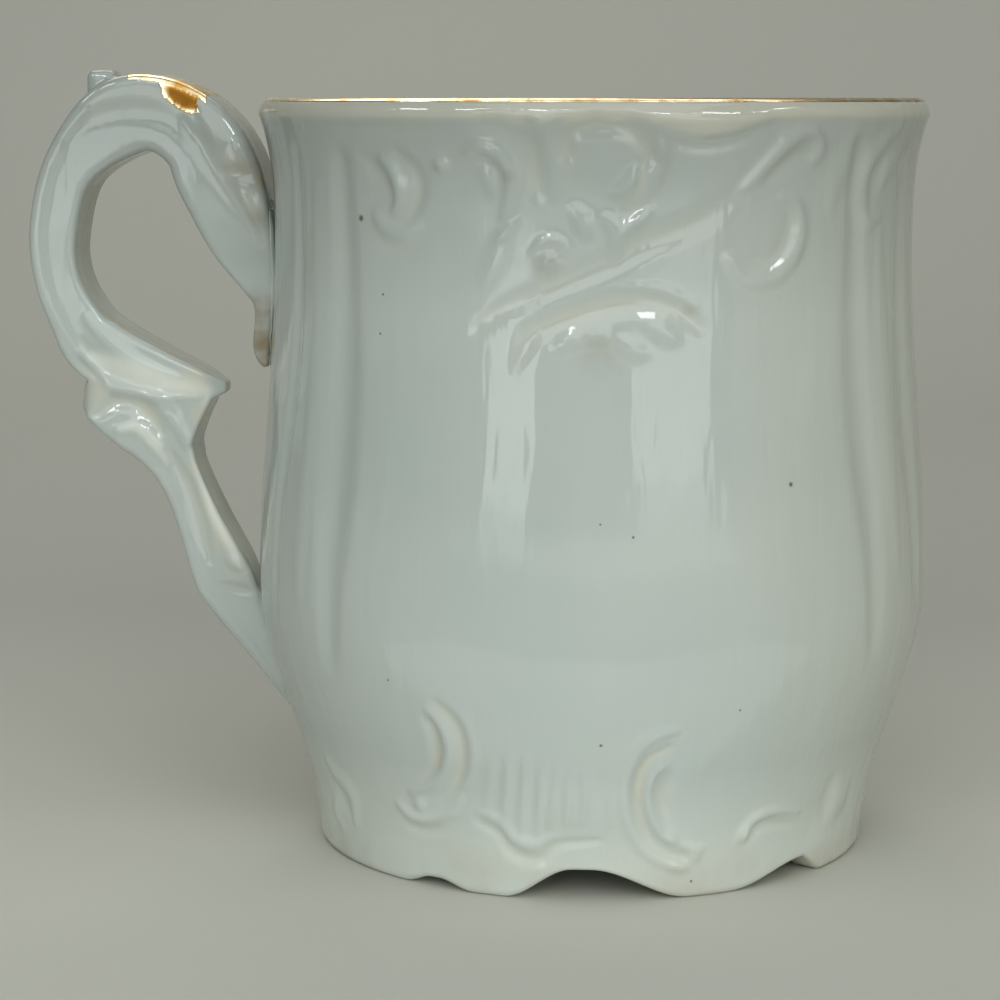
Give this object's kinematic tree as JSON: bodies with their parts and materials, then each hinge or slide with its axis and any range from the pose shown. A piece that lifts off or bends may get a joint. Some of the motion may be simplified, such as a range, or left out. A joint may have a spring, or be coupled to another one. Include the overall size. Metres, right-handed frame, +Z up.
{
  "type": "espresso cup",
  "caption": "Small moulded porcelain espresso cup with a flared lip, rounded belly, scalloped foot ring, worn gilt rim and a looped scroll handle luted to one side.",
  "frame": {"origin": "on the standing plane, under the middle of the whole object's box, handle included", "axes": "+Z up along the cup's axis, -X out along the handle, -Y towards the front"},
  "size_m": [0.078, 0.0578, 0.0664],
  "materials": {
    "body_glaze": "glossy pale grey-green white glaze",
    "handle_glaze": "glossy pale grey-green white glaze, creamier in the hollows",
    "slip": "fired slip under glaze",
    "rim_gold": "thin worn gilding",
    "handle_gold": "thin worn gilding"
  },
  "bodies": {
    "root": {"cup_body": "body_glaze", "handle": "handle_glaze", "upper_slip_joint": "slip", "lower_slip_joint": "slip", "rim_gilding": "rim_gold", "handle_gilding": "handle_gold"}
  },
  "joints": []
}
